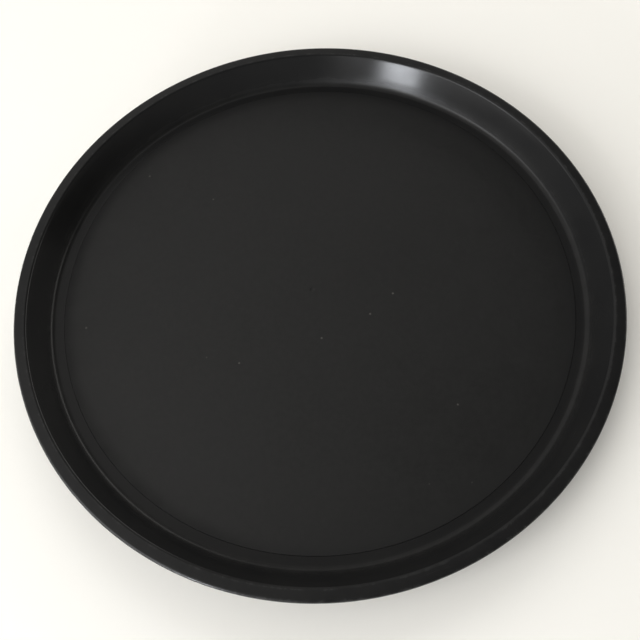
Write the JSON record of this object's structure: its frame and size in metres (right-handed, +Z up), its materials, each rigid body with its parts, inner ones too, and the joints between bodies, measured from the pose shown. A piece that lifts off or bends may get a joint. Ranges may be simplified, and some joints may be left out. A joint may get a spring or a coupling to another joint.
{
  "type": "serving tray",
  "caption": "Round black non-slip serving tray: a shallow moulded shell with a sloping wall and turned-down rim flange, and a rubber liner in its floor.",
  "frame": {"origin": "on the tray's axis, at the plane that the foot ring stands on", "axes": "+Z up along the tray's axis, out of the open well; X and Y are free directions on a round tray, and the stacking lugs lie 22.5 degrees either side of each"},
  "size_m": [0.4059, 0.406, 0.0254],
  "materials": {
    "shell_plastic": "satin",
    "liner_rubber": "matte"
  },
  "bodies": {
    "root": {"tray_shell": "shell_plastic", "non_slip_liner": "liner_rubber"}
  },
  "joints": []
}
